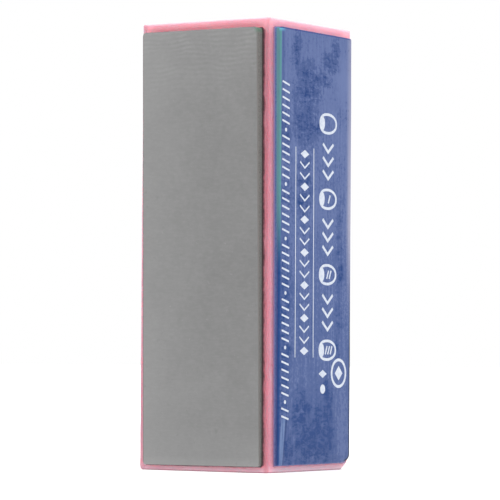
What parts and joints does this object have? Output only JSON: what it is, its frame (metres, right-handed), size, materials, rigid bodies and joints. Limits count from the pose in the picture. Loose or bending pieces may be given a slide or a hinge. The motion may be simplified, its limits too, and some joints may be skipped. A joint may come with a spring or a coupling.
{
  "type": "nail buffer block",
  "caption": "Square foam block for buffing nails, with a cushioned abrasive or polishing pad bonded to each long side.",
  "frame": {"origin": "centre of the end face that the block stands on", "axes": "+Z along the block's length, -Y out of the grey polishing pad, +X out of the blue printed pad"},
  "size_m": [0.029, 0.029, 0.0764],
  "materials": {
    "core_foam": "matte",
    "glue": "matte",
    "grey_foam": "matte",
    "grey_film": "satin",
    "blue_foam": "matte",
    "blue_grit": "matte",
    "blue_film": "gloss",
    "white_foam": "matte",
    "white_grit": "matte",
    "charcoal_foam": "matte",
    "charcoal_grit": "matte",
    "white_ink": "satin"
  },
  "bodies": {
    "root": {"foam_core": "core_foam", "grey_pad_adhesive": "glue", "grey_pad_cushion": "grey_foam", "grey_pad_polishing_sheet": "grey_film", "blue_pad_adhesive": "glue", "blue_pad_cushion": "blue_foam", "blue_pad_buffing_sheet": "blue_grit", "blue_pad_printed_film": "blue_film", "white_pad_adhesive": "glue", "white_pad_cushion": "white_foam", "white_pad_smoothing_sheet": "white_grit", "charcoal_pad_adhesive": "glue", "charcoal_pad_cushion": "charcoal_foam", "charcoal_pad_filing_sheet": "charcoal_grit"}
  },
  "joints": []
}
